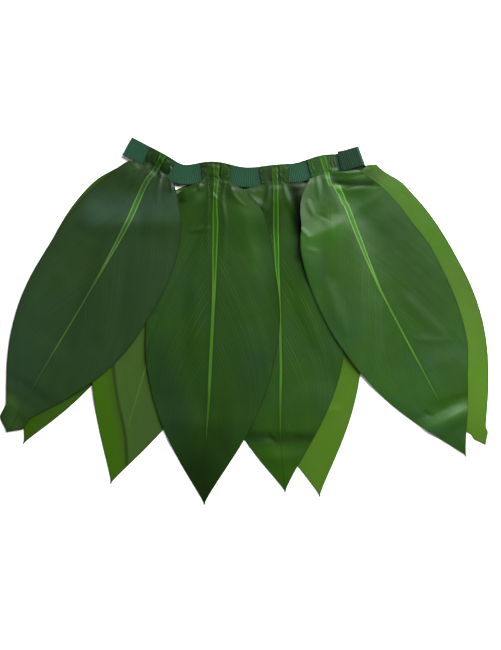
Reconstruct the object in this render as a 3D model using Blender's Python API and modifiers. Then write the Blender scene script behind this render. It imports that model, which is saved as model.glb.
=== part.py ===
"""A leaf hula skirt laid flat on its back.

An elastic tape is folded flat at the waist, its ends lapped at the right. Eight satin leaves are
sewn to its outer side by a short tab each: four behind, on the ground, and four in front.
X runs to the right, Y up to the waist and Z off the ground. Lengths are in millimetres until a
mesh is made, and the origin is on the ground, under the middle of the skirt.
"""

import math
from collections import namedtuple

import bpy
import numpy as np

MM = 0.001
COLLECTION = "leaf_hula_skirt"

# Walls and the air between layers
CLOTH = 1.0
TAPE = 1.5
GAP = 0.35

# The elastic tape: width, where its middle line runs from fold to fold, and its lap
TAPE_WIDTH = 22.0
TAPE_GROUND = 2.7
TAPE_INSIDE = 0.5
LAP_LENGTH = 23.0
LAP_SLANT = 2.2
LAP_END_ROOM = 3.0
TAPE_COURSE = (
    (-127.4, 191.4),
    (-95.0, 174.4),
    (-68.1, 160.6),
    (-34.5, 163.9),
    (0.7, 157.6),
    (33.7, 160.4),
    (59.5, 162.8),
    (85.4, 170.7),
    (104.6, 172.7),
    (126.4, 180.6),
)
TAPE_STEP = 6.0
FOLD_STEPS = 8

# The cut that all leaves share: the tab and shoulders in millimetres, where the blade is fullest
# as a share of its length, and how its sides swell and taper
TAB_HALF = 15.5
TUCK = 1.5
SHOULDER_DROP = 5.0
FULLEST = 0.45
TOP_ROUND = 2.9
TAPER_BEND = 2.2
TAPER_END = 1.22
SNUB = 11.0
POINT = 1.8

# A leaf hangs square off the tape at first, and has turned to its own way by here
TURN_OVER = 45.0

# Gathers under the tape
GATHERS = 3.0
GATHER_HEIGHT = 2.0
GATHER_FADE = 26.0

# How a leaf comes down from its tab, and how wide it bridges a step below it
TAB_SIDE = 12.0
BACK_FALL = 14.0
FRONT_FALL = 60.0
BRIDGE = 13.0
SOFTEN = 7.0

# A back leaf stays this far down around the tape, and may then climb at this slope
TAPE_CLEAR = 7.0
TAPE_CLIMB = 0.3

# The skirt was packed with its leaf ends folded up, which left a ridge across each
PACK_FOLD = 274.0

# Rows down a leaf: on the tab, round the shoulder, then evenly to the tip
TAB_ROWS = (-TAPE_WIDTH, -0.5 * TAPE_WIDTH, -TUCK)
SHOULDER_ROWS = (0.0, 3.0, 7.0, 13.0, 20.0, 29.0, 40.0)
BLADE_ROWS = 21
COLUMNS = 12

# Turns are in degrees from straight down, to the right; along is the way from the tape's left
# fold; left and right are the half widths where the blade is fullest, left_top and right_top
# those at its shoulders, blunt is the half width just above the tip, and follow is how far past
# its tab a leaf follows the tape.
LEAF_COLUMNS = "name front along turn tip_x tip_y tip_turn left right left_top right_top blunt follow"
Leaf = namedtuple("Leaf", LEAF_COLUMNS)
LEAVES = (
    Leaf("leaf_back_1", False, 33, -38, -243, -135, -25, 55, 63, 24, 27, 0, 50),
    Leaf("leaf_back_4", False, 241, 31, 265, -136, 26, 70, 66, 31, 31, 9, 50),
    Leaf("leaf_back_3", False, 171, 12, 83, -193, 7, 68, 66, 31, 31, 0, 50),
    Leaf("leaf_back_2", False, 96, -22, -147, -179, -17, 67, 64, 26, 31, 0, 50),
    Leaf("leaf_front_3", True, 169.5, 4, 45, -188, 7, 78, 74, 31, 31, 0, 50),
    Leaf("leaf_front_2", True, 104.7, 1, -44, -202, 1, 71.5, 74, 31, 30, 0, 50),
    Leaf("leaf_front_1", True, 38.5, -25, -261, -122, -27, 64, 72, 29, 26, 15, 0),
    Leaf("leaf_front_4", True, 223.5, 27.5, 244, -149, 27.5, 68, 65, 20, 30, 0, 50),
)

# Ridges in a leaf, from one point to another: down is from the tape, side is from the midrib
Ridge = namedtuple("Ridge", "leaf down side end_down end_side height reach")
RIDGES = (
    Ridge("leaf_front_1", PACK_FOLD - 6, -60.0, PACK_FOLD + 2, 60.0, 3.0, 24.0),
    Ridge("leaf_front_2", PACK_FOLD, -60.0, PACK_FOLD - 4, 60.0, 3.0, 24.0),
    Ridge("leaf_front_3", PACK_FOLD + 2, -60.0, PACK_FOLD, 60.0, 3.0, 24.0),
    Ridge("leaf_front_4", PACK_FOLD - 2, -60.0, PACK_FOLD + 4, 60.0, 3.5, 26.0),
    Ridge("leaf_front_4", 6.0, -4.0, 8.0, 44.0, 4.0, 9.0),
    Ridge("leaf_front_4", 20.0, -34.0, 84.0, -56.0, 6.0, 34.0),
    Ridge("leaf_front_3", 20.0, 24.0, 70.0, 42.0, 3.0, 26.0),
    Ridge("leaf_front_1", 30.0, 44.0, 120.0, 62.0, 3.0, 30.0),
    Ridge("leaf_back_2", 150.0, -58.0, 313.0, 12.0, 3.0, 16.0),
)


def ease(share):
    """0 to 1, level at both ends."""
    share = np.clip(share, 0.0, 1.0)
    return share * share * (3.0 - 2.0 * share)


def heading(degrees):
    """The way that a line runs, turned from straight down to the right."""
    angle = np.radians(degrees)
    return np.array([math.sin(angle), -math.cos(angle)])


class Course:
    """A smooth line in the plane that is measured along its length."""

    def __init__(self, points):
        self.points = np.array(points, float)
        steps = np.linalg.norm(np.diff(self.points, axis=0), axis=1)
        self.along = np.concatenate([[0.0], np.cumsum(steps)])
        self.ways = np.gradient(self.points, self.along, axis=0)
        self.ways /= np.linalg.norm(self.ways, axis=1)[:, None]

    @property
    def length(self):
        return self.along[-1]

    def away(self, x, y):
        """How far points are from the line."""
        steps = np.stack([x, y], axis=-1)[..., None, :] - self.points
        return np.linalg.norm(steps, axis=-1).min(axis=-1)

    def at(self, along):
        """Points on the line or straight on past its ends, and its direction there."""
        inside = np.clip(along, self.along[0], self.along[-1])
        place = np.stack([np.interp(inside, self.along, a) for a in self.points.T], axis=-1)
        way = np.stack([np.interp(inside, self.along, a) for a in self.ways.T], axis=-1)
        return place + (along - inside)[..., None] * way, way


def spline(points, steps=24):
    """Points on a Catmull-Rom curve through the given ones."""
    p = np.array(points, float)
    p = np.vstack([2 * p[0] - p[1], p, 2 * p[-1] - p[-2]])
    t = np.arange(steps)[:, None] / steps
    made = []
    for a, b, c, d in zip(p, p[1:], p[2:], p[3:]):
        bend = 2 * a - 5 * b + 4 * c - d
        made.append(0.5 * (2 * b + (c - a) * t + bend * t**2 + (3 * b - a - 3 * c + d) * t**3))
    return np.vstack(made + [p[-2:-1]])


def bezier(start, way, end, end_way, steps=60):
    """Points on a cubic curve between two points, with its directions at both ends."""
    pull = np.linalg.norm(end - start) / 3
    t = np.linspace(0.0, 1.0, steps + 1)[:, None]
    near, far = start + pull * way, end - pull * end_way
    s = 1 - t
    return s**3 * start + 3 * s**2 * t * near + 3 * s * t**2 * far + t**3 * end


TAPE_LINE = Course(spline(TAPE_COURSE))
TAPE_BACK_TOP = TAPE_GROUND + TAPE
TAPE_FRONT = TAPE_BACK_TOP + TAPE_INSIDE
TAPE_TOP = TAPE_FRONT + TAPE
LAP_BOTTOM = TAPE_TOP + GAP


def beside(way):
    """The direction to the right of a line that runs down the skirt."""
    return np.stack([-way[..., 1], way[..., 0]], axis=-1)


def on_tape(along, drop):
    """Points square to the tape, dropped from its middle line towards the hem."""
    place, way = TAPE_LINE.at(np.asarray(along))
    return place - np.asarray(drop)[..., None] * beside(way)


def off_tab(leaf, side, drop):
    """Points dropped from the tape by a leaf's tab. Past it they follow the tape for a while,
    and then run straight on."""
    held = np.clip(side, -TAB_HALF - leaf.follow, TAB_HALF + leaf.follow)
    _, way = TAPE_LINE.at(leaf.along + held)
    return on_tape(leaf.along + held, drop) + (side - held)[..., None] * way


def midrib(leaf):
    """A blade's middle line, from the tape's lower edge to the tip."""
    foot = on_tape(leaf.along, 0.5 * TAPE_WIDTH)
    tip = np.array([leaf.tip_x, leaf.tip_y])
    return Course(bezier(foot, heading(leaf.turn), tip, heading(leaf.tip_turn)))


def half_width(down, blade, top, full, blunt):
    """Half the leaf's width on one side, at a distance below the tape."""
    share = np.clip(down / blade, 0.0, 1.0)
    above = np.clip((FULLEST - share) / FULLEST, 0.0, 1.0)
    below = np.clip((share - FULLEST) / (1 - FULLEST), 0.0, 1.0)
    width = full - (full - top) * above**TOP_ROUND
    width = width * (1 - below**TAPER_BEND) ** TAPER_END
    round_off = np.sqrt(1 - (1 - np.clip((down + TUCK) / SHOULDER_DROP, 0.0, 1.0)) ** 2)
    width = np.where(share < FULLEST, TAB_HALF + (width - TAB_HALF) * round_off, width)
    snub = blunt * np.clip((blade - down) / SNUB, 0.0, 1.0)
    return np.maximum(np.maximum(width, snub), POINT)


def leaf_plan(leaf, down, across):
    """Where the leaf's points lie in the plane, and how far they are from the midrib."""
    line = midrib(leaf)
    top = np.where(across < 0, leaf.left_top, leaf.right_top)
    full = np.where(across < 0, leaf.left, leaf.right)
    side = across * half_width(down, line.length, top, full, leaf.blunt)
    place, way = line.at(np.clip(down, 0.0, None))
    hung = off_tab(leaf, side, down + 0.5 * TAPE_WIDTH)
    laid = place + side[..., None] * beside(way)
    flat = hung + (laid - hung) * ease(down / TURN_OVER)[..., None]
    return flat[..., 0], flat[..., 1], side


def ridge_height(ridge, down, side):
    """A soft ridge along a straight line, level with the leaf at its reach."""
    start = np.array([ridge.down, ridge.side])
    run = np.array([ridge.end_down, ridge.end_side]) - start
    offset = np.stack([down - start[0], side - start[1]], axis=-1)
    share = np.clip(offset @ run / (run @ run), 0.0, 1.0)
    away = np.linalg.norm(offset - share[..., None] * run, axis=-1)
    return ridge.height * np.cos(0.5 * math.pi * np.clip(away / ridge.reach, 0.0, 1.0)) ** 2


class Bed:
    """A height map of what has been laid so far, for the next leaf to lie on."""

    CELL = 3.0
    LEFT, FOOT = -300.0, -235.0
    WIDE, DEEP = 200, 155

    def __init__(self):
        self.top = np.zeros((self.DEEP, self.WIDE))

    def lay(self, x, y, z):
        """Adds a surface given as a grid of points, which is filled in between them."""
        for grid_share in np.linspace(0.0, 1.0, 8):
            for row_share in np.linspace(0.0, 1.0, 8):
                filled = [self.between(a, grid_share, row_share) for a in (x, y, z)]
                column = np.rint((filled[0] - self.LEFT) / self.CELL).astype(int)
                row = np.rint((filled[1] - self.FOOT) / self.CELL).astype(int)
                np.maximum.at(self.top, (row, column), filled[2])

    @staticmethod
    def between(a, grid_share, row_share):
        rows = a[:-1] + grid_share * (a[1:] - a[:-1])
        return rows[:, :-1] + row_share * (rows[:, 1:] - rows[:, :-1])

    def window(self, heights, radius, fold):
        """Each cell's largest or mean value within a radius."""
        reach = int(math.ceil(radius / self.CELL))
        wide = np.pad(heights, reach)
        views = []
        for i in range(-reach, reach + 1):
            for j in range(-reach, reach + 1):
                if math.hypot(i, j) * self.CELL <= radius:
                    rows = slice(reach + i, reach + i + self.DEEP)
                    views.append(wide[rows, reach + j : reach + j + self.WIDE])
        return fold(np.array(views), axis=0)

    def rest(self, x, y):
        """The height at which cloth lies clear of everything laid so far."""
        bridged = self.window(self.top, BRIDGE + SOFTEN, np.max)
        soft = self.window(bridged, SOFTEN, np.mean)
        column = np.clip((x - self.LEFT) / self.CELL, 0, self.WIDE - 1.001)
        row = np.clip((y - self.FOOT) / self.CELL, 0, self.DEEP - 1.001)
        j, i = column.astype(int), row.astype(int)
        u, v = column - j, row - i
        low = soft[i, j] * (1 - u) + soft[i, j + 1] * u
        high = soft[i + 1, j] * (1 - u) + soft[i + 1, j + 1] * u
        return low * (1 - v) + high * v


def leaf_heights(leaf, bed, down, across, x, y, side):
    """The height of a leaf's lower side, over what it lies on."""
    ground = bed.rest(x, y)
    tab = TAPE_TOP + GAP if leaf.front else TAPE_GROUND - GAP - CLOTH
    fall = FRONT_FALL if leaf.front else BACK_FALL
    held = 1 - ease(down / fall)
    if not leaf.front:
        held = held * (1 - ease((np.abs(side) - TAB_HALF) / TAB_SIDE))
    hung = np.maximum(ground + (tab - ground) * held, ground)
    base = np.where(down <= -TUCK, tab, hung)
    fade = np.exp(-np.clip(down, 0.0, None) / GATHER_FADE) * ease(down / 6.0)
    gather = 0.5 - 0.5 * np.cos(2 * math.pi * GATHERS * (0.5 + 0.5 * across))
    lift = GATHER_HEIGHT * gather * fade * (1.0 if leaf.front else 0.4)
    for ridge in RIDGES:
        if ridge.leaf == leaf.name:
            lift = lift + ridge_height(ridge, down, side)
    height = base + lift
    if not leaf.front:
        clear = TAPE_LINE.away(x, y) - 0.5 * TAPE_WIDTH - TAPE_CLEAR
        ceiling = tab + TAPE_CLIMB * np.clip(clear, 0.0, None)
        height = np.minimum(height, ceiling)
    return height


def cloth_material(name, colour, roughness):
    material = bpy.data.materials.new(name)
    material.use_nodes = True
    shader = material.node_tree.nodes["Principled BSDF"]
    shader.inputs["Base Color"].default_value = (*colour, 1.0)
    shader.inputs["Roughness"].default_value = roughness
    shader.inputs["Metallic"].default_value = 0.0
    return material


def grid_wall(name, x, y, z, wall, grow, material):
    """A wall of cloth on a grid of points, thickened up from them or to both sides."""
    rows, columns = x.shape
    bpy.ops.mesh.primitive_grid_add(x_subdivisions=columns - 1, y_subdivisions=rows - 1, size=2)
    piece = bpy.context.object
    piece.name = piece.data.name = name
    for vertex in piece.data.vertices:
        column = round((vertex.co.x + 1) / 2 * (columns - 1))
        row = round((1 - vertex.co.y) / 2 * (rows - 1))
        vertex.co = (x[row, column] * MM, y[row, column] * MM, z[row, column] * MM)
    solid = piece.modifiers.new("wall", "SOLIDIFY")
    solid.thickness = wall * MM
    solid.offset = grow
    solid.use_rim = True
    piece.data.materials.append(material)
    piece.data.shade_smooth()
    home = bpy.data.collections[COLLECTION]
    for other in list(piece.users_collection):
        other.objects.unlink(piece)
    home.objects.link(piece)
    return piece


def make_leaf(leaf, bed, material):
    blade = midrib(leaf).length
    even = np.linspace(SHOULDER_ROWS[-1], blade, BLADE_ROWS + 1)[1:]
    rows = np.concatenate([TAB_ROWS, SHOULDER_ROWS, even])
    down, across = np.meshgrid(rows, np.linspace(-1.0, 1.0, COLUMNS + 1), indexing="ij")
    x, y, side = leaf_plan(leaf, down, across)
    z = leaf_heights(leaf, bed, down, across, x, y, side)
    grid_wall(leaf.name, x, y, z, CLOTH, 1.0, material)
    bed.lay(x, y, z + CLOTH + GAP)


def tape_path():
    """The tape's middle surface as (along, height, slant) rows, from its lap round to its end."""
    length = TAPE_LINE.length
    back, front, lap = (low + 0.5 * TAPE for low in (TAPE_GROUND, TAPE_FRONT, LAP_BOTTOM))
    turns = np.linspace(0.5 * math.pi, -0.5 * math.pi, FOLD_STEPS + 1)[1:-1]
    count = int(length / TAPE_STEP)
    rows = []
    for share in np.linspace(0.0, 1.0, 5):
        rows.append((length - LAP_LENGTH * (1 - share), lap, LAP_SLANT * (1 - share)))
    radius = 0.5 * (lap - back)
    for turn in turns:
        rows.append((length + radius * math.cos(turn), back + radius * (1 + math.sin(turn)), 0.0))
    rows += [(along, back, 0.0) for along in np.linspace(length, 0.0, count)]
    radius = 0.5 * (front - back)
    for turn in turns[::-1]:
        rows.append((-radius * math.cos(turn), back + radius * (1 + math.sin(turn)), 0.0))
    rows += [(along, front, 0.0) for along in np.linspace(0.0, length - LAP_END_ROOM, count)]
    return np.array(rows)


def make_tape(bed, material):
    along, height, slant = tape_path().T
    place, way = TAPE_LINE.at(along)
    upward = beside(way)
    edges = np.array([0.5, 0.0, -0.5]) * TAPE_WIDTH
    flat = place[:, None] + (edges[None, :] + slant[:, None])[..., None] * upward[:, None]
    z = np.repeat(height[:, None], len(edges), axis=1)
    grid_wall("waist_tape", flat[..., 0], flat[..., 1], z, TAPE, 0.0, material)
    bed.lay(flat[..., 0], flat[..., 1], z + 0.5 * TAPE + GAP)


def clear_scene():
    for old in list(bpy.data.objects):
        bpy.data.objects.remove(old, do_unlink=True)
    bpy.context.scene.collection.children.link(bpy.data.collections.new(COLLECTION))


def main():
    clear_scene()
    printed = cloth_material("printed_satin_face", (0.021, 0.064, 0.012), 0.42)
    reverse = cloth_material("satin_reverse", (0.105, 0.209, 0.026), 0.55)
    elastic = cloth_material("woven_elastic", (0.026, 0.072, 0.039), 0.75)
    bed = Bed()
    for leaf in LEAVES:
        if not leaf.front:
            make_leaf(leaf, bed, reverse)
    make_tape(bed, elastic)
    for leaf in LEAVES:
        if leaf.front:
            make_leaf(leaf, bed, printed)


if __name__ == "__main__":
    main()
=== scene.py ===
import math

import bpy
import numpy as np
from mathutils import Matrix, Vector


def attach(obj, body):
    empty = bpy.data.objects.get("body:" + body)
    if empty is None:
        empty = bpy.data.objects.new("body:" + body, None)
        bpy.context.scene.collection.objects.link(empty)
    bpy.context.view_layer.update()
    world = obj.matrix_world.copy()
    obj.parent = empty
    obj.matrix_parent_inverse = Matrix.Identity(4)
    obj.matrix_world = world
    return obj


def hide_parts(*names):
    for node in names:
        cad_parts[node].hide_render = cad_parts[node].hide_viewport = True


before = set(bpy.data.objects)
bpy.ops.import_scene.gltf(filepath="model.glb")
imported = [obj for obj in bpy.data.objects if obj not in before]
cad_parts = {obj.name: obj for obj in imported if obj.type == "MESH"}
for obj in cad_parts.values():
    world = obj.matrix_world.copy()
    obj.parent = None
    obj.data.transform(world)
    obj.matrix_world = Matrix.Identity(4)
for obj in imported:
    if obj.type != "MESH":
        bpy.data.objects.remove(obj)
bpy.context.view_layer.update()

print("stage: frame loaded,", len(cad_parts), "nodes")

mm = 0.001
wavesPerScale = 20.0  # a wave texture draws about this many times its scale to a metre
noiseSpan = {"From Min": 0.3, "From Max": 0.7}  # where most of a noise texture's values lie

# The walls of the solids, which the thin cloth lies in the middle of, and the air between them
solids = {"cloth": 1.0, "tape": 1.5, "gap": 0.35}


def hexColour(code):
    # sRGB hex to the linear colour that the shaders work in
    parts = [int(code[i : i + 2], 16) / 255 for i in (1, 3, 5)]
    return [c / 12.92 if c <= 0.04045 else ((c + 0.055) / 1.055) ** 2.4 for c in parts] + [1.0]


def fillInputs(tree, node, inputs):
    # each input that is named gets a constant, a socket, or a node's first output
    for name, value in inputs.items():
        if isinstance(value, bpy.types.Node):
            value = value.outputs[0]
        if isinstance(value, bpy.types.NodeSocket):
            tree.links.new(value, node.inputs[name])
        else:
            node.inputs[name].default_value = value


def addNode(tree, kind, inputs=None, **settings):
    node = tree.nodes.new(kind)
    for name, value in settings.items():
        setattr(node, name, value)
    fillInputs(tree, node, inputs or {})
    return node


def startMaterial(name):
    material = bpy.data.materials.new(name)
    material.use_nodes = True
    tree = material.node_tree
    place = addNode(tree, "ShaderNodeTexCoord").outputs["Object"]
    return material, tree, tree.nodes["Principled BSDF"], place


def addObject(name, data):
    thing = bpy.data.objects.new(name, data)
    bpy.context.scene.collection.objects.link(thing)
    return thing


def ease(share):
    # smooth from 0 to 1
    share = np.clip(share, 0.0, 1.0)
    return share * share * (3.0 - 2.0 * share)


def rowsAt(down, rows):
    # the value at each distance down, from (distance, value) rows
    return np.interp(down, *zip(*rows))


# Lines in the plane, measured along their length

def makeCourse(points):
    points = np.array(points, float)
    steps = np.linalg.norm(np.diff(points, axis=0), axis=1)
    along = np.concatenate([[0.0], np.cumsum(steps)])
    ways = np.gradient(points, along, axis=0)
    ways /= np.linalg.norm(ways, axis=1)[:, None]
    return {"points": points, "along": along, "ways": ways, "length": along[-1]}


def courseAt(course, along):
    inside = np.clip(along, 0.0, course["length"])
    place = np.stack([np.interp(inside, course["along"], a) for a in course["points"].T], -1)
    way = np.stack([np.interp(inside, course["along"], a) for a in course["ways"].T], -1)
    return place + (along - inside)[..., None] * way, way


def splinePoints(points, steps=24):
    p = np.array(points, float)
    p = np.vstack([2 * p[0] - p[1], p, 2 * p[-1] - p[-2]])
    t = np.arange(steps)[:, None] / steps
    made = []
    for a, b, c, d in zip(p, p[1:], p[2:], p[3:]):
        bend = 2 * a - 5 * b + 4 * c - d
        made.append(0.5 * (2 * b + (c - a) * t + bend * t**2 + (3 * b - a - 3 * c + d) * t**3))
    return np.vstack(made + [p[-2:-1]])


def bezierPoints(start, way, end, endWay, steps=120):
    pull = np.linalg.norm(end - start) / 3
    t = np.linspace(0.0, 1.0, steps + 1)[:, None]
    near, far, s = start + pull * way, end - pull * endWay, 1 - t
    return s**3 * start + 3 * s**2 * t * near + 3 * s * t**2 * far + t**3 * end


def heading(degrees):
    angle = math.radians(degrees)
    return np.array([math.sin(angle), -math.cos(angle)])


def beside(way):
    return np.stack([-way[..., 1], way[..., 0]], axis=-1)


# A closed shell of cloth around a grid of points in millimetres. Rows run one way and columns
# the other, so that rows x columns points out of the first side.
def makeShell(name, x, y, z, thickness, materials, attributes):
    rows, columns = x.shape
    points = np.stack([x, y, z], axis=-1)
    normal = np.cross(np.gradient(points, axis=0), np.gradient(points, axis=1))
    normal /= np.linalg.norm(normal, axis=-1)[..., None]
    sides = [points + 0.5 * thickness * normal, points - 0.5 * thickness * normal]
    vertices = np.concatenate([s.reshape(-1, 3) for s in sides]) * mm
    index = np.arange(rows * columns).reshape(rows, columns)
    under = rows * columns
    corners = (index[:-1, :-1], index[1:, :-1], index[1:, 1:], index[:-1, 1:])
    faceUp = np.stack([c.ravel() for c in corners], axis=1)
    faceDown = faceUp[:, ::-1] + under
    loop = np.concatenate([index[:-1, 0], index[-1, :-1], index[:0:-1, -1], index[0, :0:-1]])
    after = np.roll(loop, -1)
    rim = np.stack([loop, loop + under, after + under, after], axis=1)
    faces = np.concatenate([faceUp, faceDown, rim])
    mesh = bpy.data.meshes.new(name)
    mesh.from_pydata(vertices.tolist(), [], faces.tolist())
    for material in materials:
        mesh.materials.append(material)
    # the two sides and the cut edge each have a material, where there are three
    slots = np.zeros(len(faces), np.int32)
    slots[len(faceUp) : 2 * len(faceUp)] = min(1, len(materials) - 1)
    slots[2 * len(faceUp) :] = len(materials) - 1
    mesh.polygons.foreach_set("material_index", slots)
    smooth = np.ones(len(faces), bool)
    smooth[2 * len(faceUp) :] = False  # the cut edge stays crisp
    mesh.polygons.foreach_set("use_smooth", smooth)
    mesh.update()
    ends = np.zeros(2 * len(mesh.edges), np.int32)
    mesh.edges.foreach_get("vertices", ends)
    ends = ends.reshape(-1, 2)
    alongRim = np.isin(ends % under, loop).all(axis=1) & (ends[:, 0] // under == ends[:, 1] // under)
    mesh.attributes.new("sharp_edge", "BOOLEAN", "EDGE").data.foreach_set("value", alongRim)
    for key, values in attributes.items():
        flat = np.broadcast_to(values, x.shape).astype(np.float32).ravel()
        layer = mesh.attributes.new(key, "FLOAT", "POINT")
        layer.data.foreach_set("value", np.concatenate([flat, flat]))
    if "side" in attributes:
        # the flat cut, with half a metre of cloth to the whole square
        uv = mesh.uv_layers.new(name="cut")
        loopVertex = np.zeros(len(mesh.loops), np.int32)
        mesh.loops.foreach_get("vertex_index", loopVertex)
        plane = np.stack([attributes["side"].ravel(), attributes["down"].ravel()], axis=1)
        plane = np.concatenate([plane, plane])[loopVertex] * 0.002 + 0.5
        uv.data.foreach_set("uv", plane.astype(np.float32).ravel())
    mesh.update()
    return addObject(name, mesh)


# The waist: a loop of elastic tape pressed flat, its ends lapped at the right. All in millimetres.
waistTape = {
    "width": 22.0,
    "core": 0.95,  # its thickness between the ribs
    "ground": 2.7,  # how high the back half lies, on the back leaves' tabs
    "inside": 0.5,  # air between the two halves
    "course": ((-127.4, 191.4), (-95.0, 174.4), (-68.1, 160.6), (-34.5, 163.9), (0.7, 157.6),
               (33.7, 160.4), (59.5, 162.8), (85.4, 170.7), (104.6, 172.7), (126.4, 180.6)),
    "lapLength": 23.0, "lapSlant": 2.2, "lapEndRoom": 3.0,
    "lapTone": 0.52,  # the lap is darker, its ribs are plainer
    "foldSlant": -2.6, "foldRoom": 24.0,  # how the back half slips down at the right-hand fold
    "foldSteps": 15,
    "ribPitch": 2.1, "ribDepth": 0.26, "ribFaint": 0.3,
    "selvedge": 0.4,  # between the last column and the tape's edge
    "step": 0.42, "columns": 12,
}

tapeLine = makeCourse(splinePoints(waistTape["course"]))
tapeBackTop = waistTape["ground"] + solids["tape"]
tapeFront = tapeBackTop + waistTape["inside"]
tapeTop = tapeFront + solids["tape"]
lapBottom = tapeTop + solids["gap"]


def onTape(along, drop):
    place, way = courseAt(tapeLine, np.asarray(along, float))
    return place - np.asarray(drop)[..., None] * beside(way)


# The cut that all leaves share, in millimetres and shares of the blade's length
leafCut = {
    "tabHalf": 15.5, "tuck": 1.5, "shoulderDrop": 5.0,
    # gathering leaves the sides of the tab uneven
    "tabUneven": 0.035, "unevenOver": 3.0, "unevenWaves": (0.31, 0.8),
    "fullest": 0.45, "topRound": 2.9, "taperBend": 2.2, "taperEnd": 1.22,
    "snub": 11.0, "point": 0.8,
    "turnOver": 45.0,  # how far down a leaf turns from the tape's way to its own
    "thickness": 0.3,
    "border": 1.5, "borderShade": 0.45, "cutEdge": 0.35,  # darker along the hot cut, partly the melted dye and partly painted shade at the edge
    "tabStep": 1.1, "foldStep": 1.3, "foldsEnd": 70.0, "bladeStep": 2.4, "columns": 58,
    "usualHalf": 50.0,  # turns the border's width into a share of the leaf's
}

# How the leaves hang from the tape and lie over each other
leafLie = {
    "gathers": 3.0, "gatherHeight": 0.9, "gatherFade": 26.0, "gatherStart": 6.0, "backGather": 0.4,
    "tabPleats": 2.6, "pleatHeight": 0.5, "pleatEnd": 2.0,
    "seamTop": 19.0, "seamLow": 4.0, "seamPress": 4.0,
    "tabSide": 12.0, "backFall": 14.0, "frontFall": 60.0,
    "bridge": 13.0, "soften": 7.0, "keepOff": 4.0,
    "tapeClear": 7.0, "tapeClimb": 0.3,
    "creaseSwell": 0.8, "creaseCrest": 0.12,
}


def midribCourse(leaf):
    foot = onTape(leaf["along"], 0.5 * waistTape["width"])
    tip = np.array(leaf["tip"], float)
    return makeCourse(bezierPoints(foot, heading(leaf["turn"]), tip, heading(leaf["tipTurn"])))


def halfWidth(down, blade, top, full, blunt):
    cut = leafCut
    share = np.clip(down / blade, 0.0, 1.0)
    above = np.clip((cut["fullest"] - share) / cut["fullest"], 0.0, 1.0)
    below = np.clip((share - cut["fullest"]) / (1 - cut["fullest"]), 0.0, 1.0)
    width = full - (full - top) * above ** cut["topRound"]
    width = width * (1 - below ** cut["taperBend"]) ** cut["taperEnd"]
    turn = np.clip((down + cut["tuck"]) / cut["shoulderDrop"], 0.0, 1.0)
    shoulder = cut["tabHalf"] + (width - cut["tabHalf"]) * np.sqrt(1 - (1 - turn) ** 2)
    width = np.where(share < cut["fullest"], shoulder, width)
    snub = blunt * np.clip((blade - down) / cut["snub"], 0.0, 1.0)
    return np.maximum(np.maximum(width, snub), cut["point"])


def offTab(leaf, side, drop):
    # past its tab a leaf follows the tape for a while, and then runs straight on
    held = leafCut["tabHalf"] + leaf["follow"]
    held = np.clip(side, -held, held)
    _, way = courseAt(tapeLine, leaf["along"] + held)
    return onTape(leaf["along"] + held, drop) + (side - held)[..., None] * way


def leafPlan(leaf, line, down, across):
    top = np.where(across < 0, leaf["leftTop"], leaf["rightTop"])
    full = np.where(across < 0, leaf["left"], leaf["right"])
    half = halfWidth(down, line["length"], top, full, leaf["blunt"])
    half = half + np.where(across < 0, rowsAt(down, leaf["leftWider"]), rowsAt(down, leaf["rightWider"]))
    side = across * half
    slow, quick = leafCut["unevenWaves"]
    uneven = np.sin(slow * down + leaf["along"]) + 0.6 * np.sin(quick * down + 2 * across)
    side = side * (1 + leafCut["tabUneven"] * uneven * ease(-down / leafCut["unevenOver"]))
    place, way = courseAt(line, np.clip(down, 0.0, None))
    hung = offTab(leaf, side, down + 0.5 * waistTape["width"])
    laid = place + side[..., None] * beside(way)
    flat = hung + (laid - hung) * ease(down / leafCut["turnOver"])[..., None]
    return flat[..., 0], flat[..., 1], side, half


# How far points of a leaf are from a line through the given ones, and their share of its length
def nearPath(points, down, side):
    path = splinePoints(points, 6) if len(points) > 2 else np.array(points, float)
    nearest, share = np.full(down.shape, 1e9), np.zeros(down.shape)
    for i, (start, end) in enumerate(zip(path, path[1:])):
        run = end - start
        offset = np.stack([down - start[0], side - start[1]], axis=-1)
        part = np.clip(offset @ run / (run @ run), 0.0, 1.0)
        away = np.linalg.norm(offset - part[..., None] * run, axis=-1)
        share = np.where(away < nearest, (i + part) / (len(path) - 1), share)
        nearest = np.minimum(nearest, away)
    return nearest, share


# A crease is a ridge, or a trough where its height is negative. It dies out at both ends.
def creaseHeight(crease, down, side):
    height, reach, *points = crease
    away, share = nearPath(points, down, side)
    swell = np.sin(math.pi * share) ** leafLie["creaseSwell"]
    off = np.clip(np.hypot(away / (reach * (0.5 + 0.5 * swell)), leafLie["creaseCrest"]), 0.0, 1.0)
    return height * swell * (1 - off) ** 2 * (1 + 0.8 * off)


# A patch is a soft change of tone and hue along a line: 1 on the line and 0 at its reach. Many are painted:
# shade, shadows and sheen.
def patchShare(reach, points, down, side):
    away, _ = nearPath(points, down, side)
    return np.cos(0.5 * math.pi * np.clip(away / reach, 0.0, 1.0)) ** 2


# A height map of what has been laid so far, for the next leaf to lie on
bed = {"cell": 2.0, "left": -300.0, "foot": -240.0, "wide": 300, "deep": 235, "blur": 4.0, "blurs": 2}
bed["top"] = np.zeros((bed["deep"], bed["wide"]))


def layOnBed(x, y, z):
    for rowShare in np.linspace(0.0, 1.0, 4):
        for columnShare in np.linspace(0.0, 1.0, 4):
            filled = []
            for a in (x, y, z):
                between = a[:-1] + rowShare * (a[1:] - a[:-1])
                filled.append(between[:, :-1] + columnShare * (between[:, 1:] - between[:, :-1]))
            column = np.rint((filled[0] - bed["left"]) / bed["cell"]).astype(int)
            row = np.rint((filled[1] - bed["foot"]) / bed["cell"]).astype(int)
            np.maximum.at(bed["top"], (row, column), filled[2])


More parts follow.
